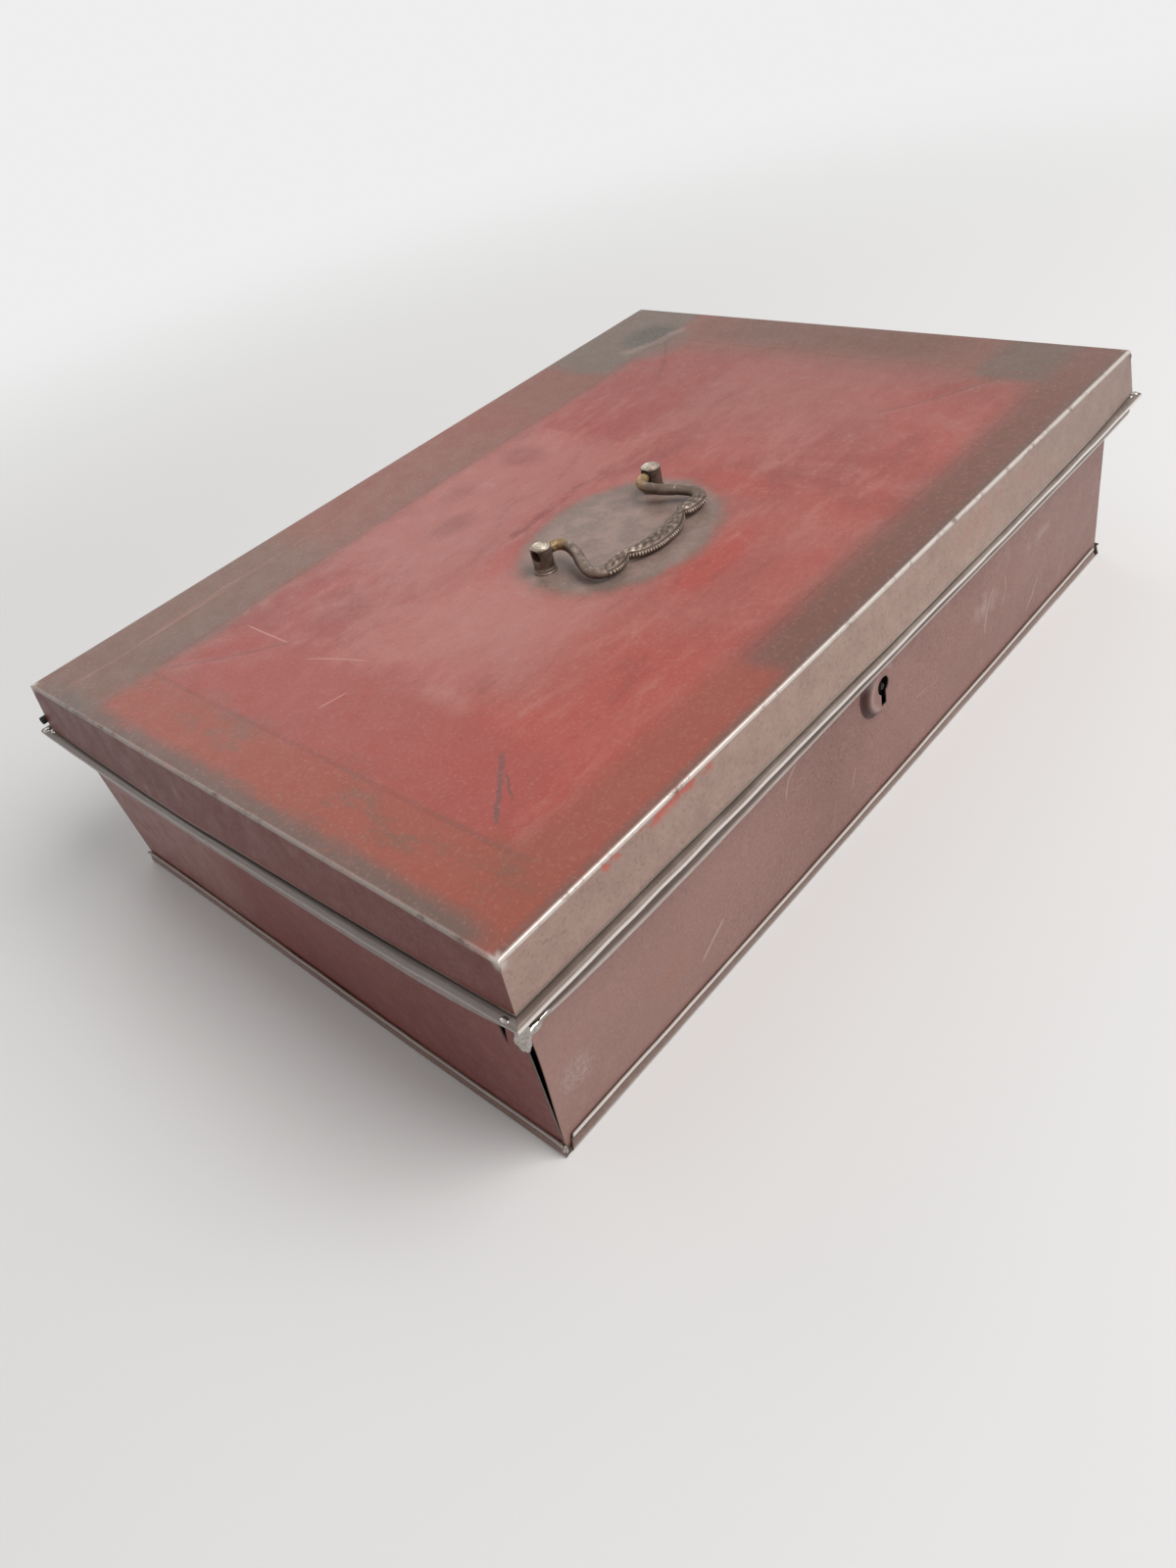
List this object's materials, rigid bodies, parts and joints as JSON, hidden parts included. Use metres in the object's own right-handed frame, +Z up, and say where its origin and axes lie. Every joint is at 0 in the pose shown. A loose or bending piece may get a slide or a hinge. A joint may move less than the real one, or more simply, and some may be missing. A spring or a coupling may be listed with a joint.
{
  "type": "sheet steel deed box",
  "caption": "Flat sheet steel box for papers and keepsakes: hinged lid with folded skirts, moulded rim, folding bail handle on top, and a lever lock behind a keyhole in a raised boss.",
  "frame": {"origin": "middle of the base, on the surface that the box stands on", "axes": "+X along the front to the right, -Y the front with the keyhole, +Z up"},
  "size_m": [0.41, 0.287, 0.1133],
  "materials": {
    "lid_paint": "old red-brown paint worn to grey metal, semi-gloss, bright at the folds",
    "body_paint": "old brown paint with rust speckle, semi-matt, bright along the rim",
    "handle_metal": "dull cast brass, brown in the hollows",
    "hinge_steel": "dark oiled steel strip",
    "bare_steel": "dull bare steel",
    "lock_brass": "aged brass"
  },
  "bodies": {
    "trunk_body": {"front_panel": "body_paint", "back_panel": "body_paint", "left_end_panel": "body_paint", "right_end_panel": "body_paint", "bottom_pan": "body_paint", "hinge_body_leaf": "hinge_steel", "hinge_wire": "bare_steel", "lock_plate": "bare_steel", "lock_case": "bare_steel", "lock_rivets": "lock_brass", "lock_key_pin": "bare_steel", "lock_studs": "lock_brass", "lever_spring": "hinge_steel"},
    "lid": {"lid_shell": "lid_paint", "lid_staple": "bare_steel", "handle_post_left": "handle_metal", "handle_post_right": "handle_metal", "handle_roves": "bare_steel", "hinge_lid_leaf": "hinge_steel"},
    "bail": {"handle_bail": "handle_metal"},
    "bolt": {"lock_bolt": "lock_brass"},
    "lever": {"lock_lever": "lock_brass"}
  },
  "joints": [
    {"name": "lid_hinge", "type": "hinge", "parent": "trunk_body", "child": "lid", "pos_m": [0, 0.14055, 0.0845], "axis": [-1, 0, 0], "range_deg": [0, 155]},
    {"name": "handle_hinge", "type": "hinge", "parent": "lid", "child": "bail", "pos_m": [-0.0095, -0.0115, 0.1091], "axis": [-1, 0, 0], "range_deg": [0, 163]},
    {"name": "bolt_slide", "type": "slide", "parent": "trunk_body", "child": "bolt", "axis": [1, 0, 0], "range_m": [0, 0.007]},
    {"name": "lever_pivot", "type": "hinge", "parent": "trunk_body", "child": "lever", "pos_m": [0.018, -0.127, 0.0608], "axis": [0, 1, 0], "range_deg": [0, 6], "stiffness_Nm_per_rad": 0.02, "springref_deg": -2.86, "deforming": ["lever_spring"]}
  ]
}
